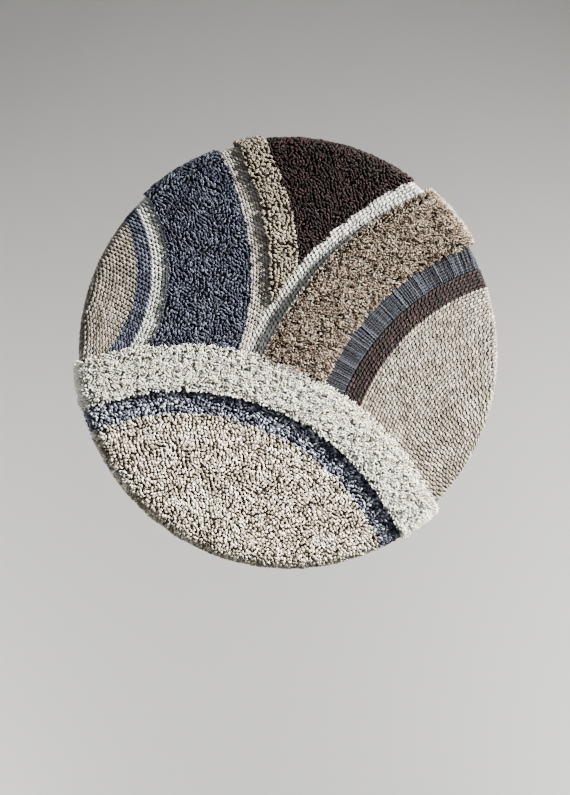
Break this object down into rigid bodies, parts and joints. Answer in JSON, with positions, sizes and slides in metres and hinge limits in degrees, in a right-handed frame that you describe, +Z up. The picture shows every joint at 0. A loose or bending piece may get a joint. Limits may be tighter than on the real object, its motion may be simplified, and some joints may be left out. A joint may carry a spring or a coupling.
{
  "type": "punch needle wall piece on a round board",
  "caption": "Round punch needle wall piece: overlapping fans of loops, flat stitches and shag on a ground cloth drawn over a round board.",
  "frame": {"origin": "the top edge of the piece, in the plane of the wall it hangs on", "axes": "+X to the viewer's right, +Z up the wall, and the worked face looks along -Y; the wall is on the +Y side"},
  "size_m": [0.4976, 0.0393, 0.4987],
  "materials": {
    "birch_plywood": "plain sanded plywood",
    "cotton_ground_cloth": "open plain weave of thick cotton",
    "yarn_dark_brown": "matt wool in short loops",
    "yarn_oat_heather": "matt heather wool in loops",
    "yarn_sand": "matt wool in flat stitches",
    "yarn_slate": "matt wool in loops and flat stitches",
    "yarn_cream": "matt wool in flat stitches",
    "yarn_beige": "matt wool in flat stitches",
    "yarn_tan": "cut wool pile, speckled",
    "yarn_grey_blue": "smooth yarn laid in long stitches",
    "yarn_brown": "matt wool in flat stitches",
    "yarn_white": "cut wool pile, off-white",
    "yarn_navy": "matt wool in loops"
  },
  "bodies": {
    "root": {"board": "birch_plywood", "ground_cloth": "cotton_ground_cloth", "ground_loops_brown": "yarn_dark_brown", "left_high_loops_oat": "yarn_oat_heather", "left_flat_sand": "yarn_sand", "left_loops_slate": "yarn_slate", "left_flat_cream": "yarn_cream", "left_flat_slate": "yarn_slate", "left_flat_beige": "yarn_beige", "right_flat_cream": "yarn_cream", "right_shag_tan": "yarn_tan", "right_long_slate": "yarn_grey_blue", "right_flat_brown": "yarn_brown", "right_flat_beige": "yarn_beige", "front_shag_white": "yarn_white", "front_loops_navy": "yarn_navy", "front_loops_oat": "yarn_oat_heather"}
  },
  "joints": []
}
